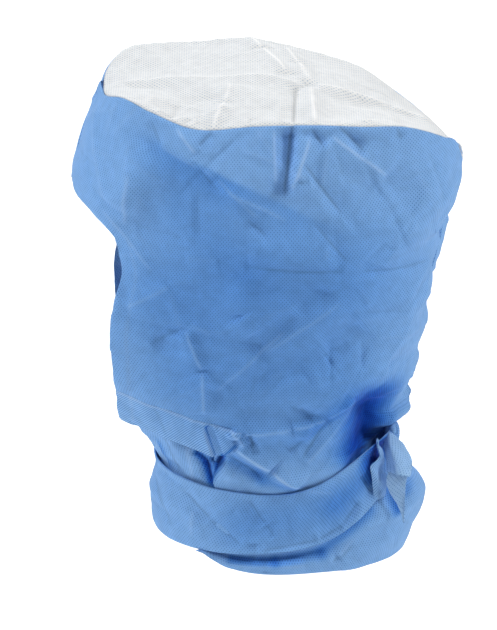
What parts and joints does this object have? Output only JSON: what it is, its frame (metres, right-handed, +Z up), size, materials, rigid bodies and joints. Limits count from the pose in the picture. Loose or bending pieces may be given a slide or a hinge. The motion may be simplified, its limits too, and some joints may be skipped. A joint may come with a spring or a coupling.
{
  "type": "surgical hood",
  "caption": "Head and neck hood of soft nonwoven cloth: a flat crown, side panels round an open face, a throat flap and a tie knotted at the nape.",
  "frame": {"origin": "underside of the crown, where the top of the head touches it, on the plane that halves the hood", "axes": "+Z up, the wearer faces -Y, +X is the wearer's left"},
  "size_m": [0.1619, 0.2345, 0.2972],
  "materials": {
    "crown": "matt white spunbond nonwoven with a fine embossed diamond pattern",
    "side_panel": "matt blue three-layer nonwoven with fine embossed bond points",
    "jaw_hem": "matt blue nonwoven folded double, with its bond points in diagonal lines",
    "chin_flap": "matt blue nonwoven with soft creases",
    "tie": "matt blue nonwoven folded double, crumpled where it is knotted"
  },
  "bodies": {
    "root": {"crown_panel": "crown", "side_panel_left": "side_panel", "side_panel_right": "side_panel", "jaw_hem_left": "jaw_hem", "jaw_hem_right": "jaw_hem", "chin_flap": "chin_flap", "neck_tie": "tie", "tie_knot": "tie", "tie_end_left": "tie", "tie_end_right": "tie"}
  },
  "joints": []
}
